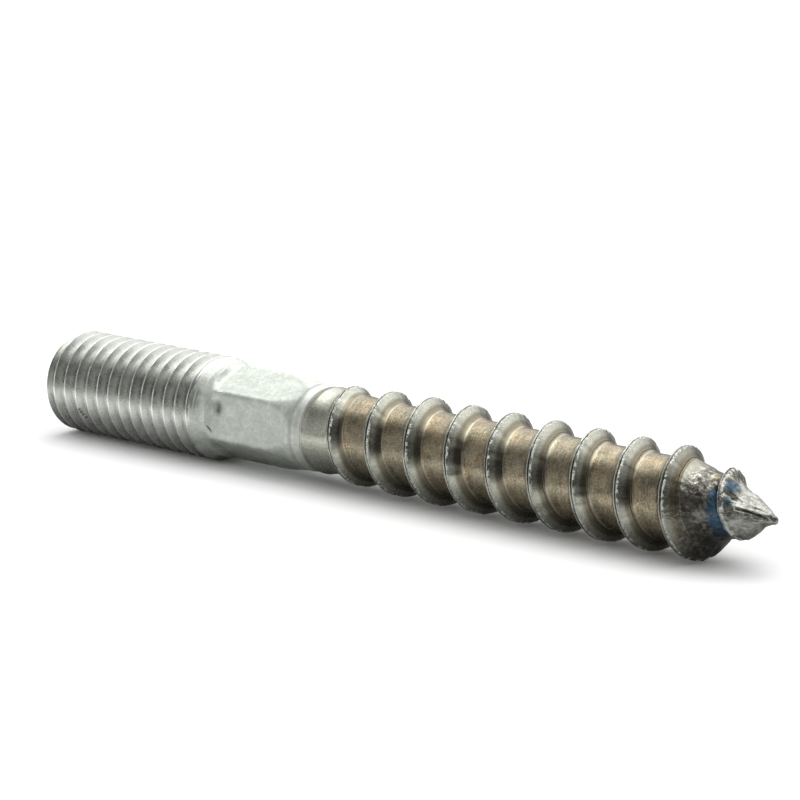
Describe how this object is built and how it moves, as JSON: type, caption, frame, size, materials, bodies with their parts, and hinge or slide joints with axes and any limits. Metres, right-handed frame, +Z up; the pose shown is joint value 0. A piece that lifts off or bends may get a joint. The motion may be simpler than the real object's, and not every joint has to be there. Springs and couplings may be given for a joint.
{
  "type": "hanger bolt",
  "caption": "Headless steel bolt with a machine thread at one end and a coarse wood thread with a gimlet point at the other, and a pressed hexagon between them.",
  "frame": {"origin": "centre of the machine end face, on the bolt's axis", "axes": "+X along the axis from the machine end to the point; +Z up as the bolt lies on its side"},
  "size_m": [0.0829, 0.0098, 0.0098],
  "materials": {
    "zinc_plated_steel": "pale zinc plating, satin"
  },
  "bodies": {
    "root": {"hanger_bolt": "zinc_plated_steel"}
  },
  "joints": []
}
